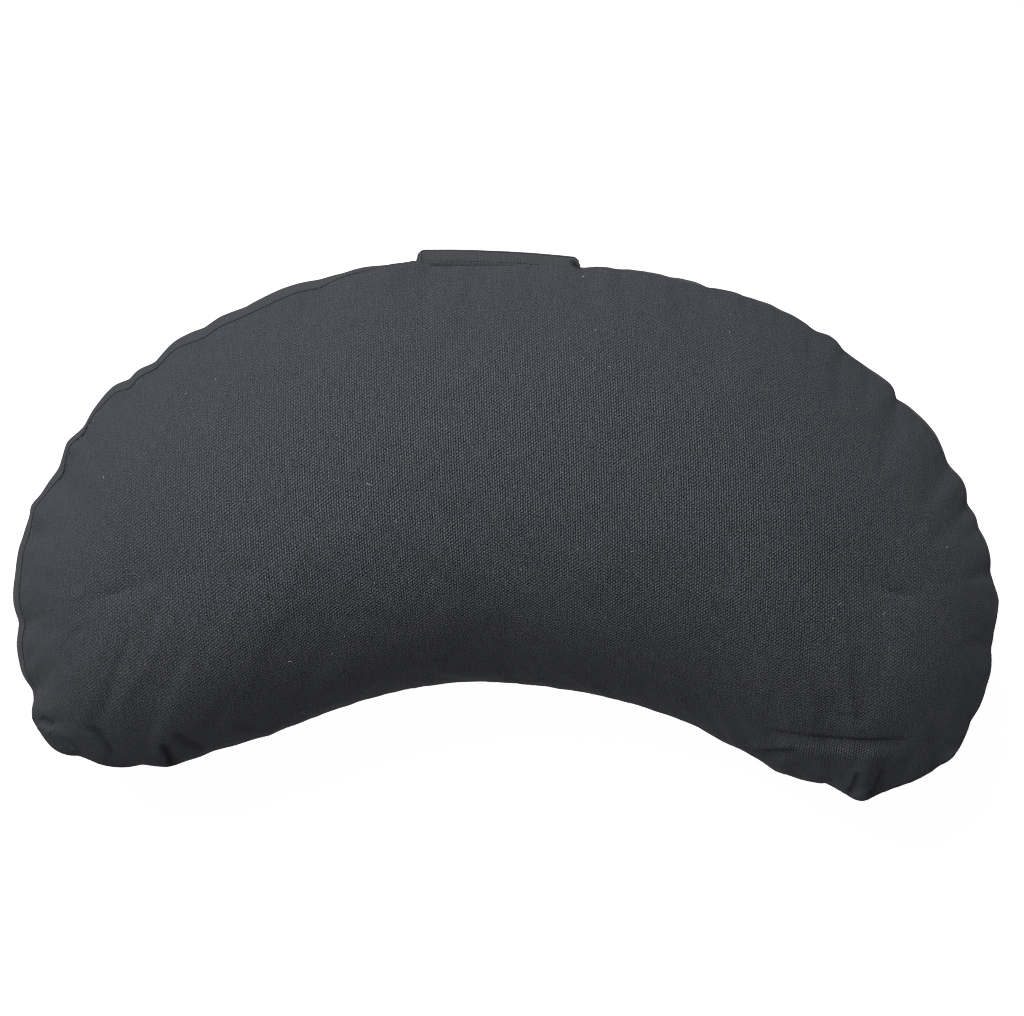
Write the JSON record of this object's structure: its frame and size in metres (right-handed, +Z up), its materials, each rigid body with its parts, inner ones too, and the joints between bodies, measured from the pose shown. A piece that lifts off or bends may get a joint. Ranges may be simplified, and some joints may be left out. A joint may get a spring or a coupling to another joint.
{
  "type": "crescent meditation cushion",
  "caption": "Filled half-moon floor cushion in charcoal canvas, with a crowned top, puckered seams, a bulged side wall and a carrying strap at the back.",
  "frame": {"origin": "middle of the bounding box in plan, on the surface that the cushion lies on", "axes": "+X from horn to horn, along the length; +Y from the hollow side towards the back and its strap; +Z up through the crown"},
  "size_m": [0.4622, 0.2608, 0.1312],
  "materials": {
    "cover": "matt plain-weave cotton canvas, dyed charcoal",
    "strap": "the same canvas, folded and stitched"
  },
  "bodies": {
    "root": {"cushion_body": "cover", "carry_handle": "strap"}
  },
  "joints": []
}
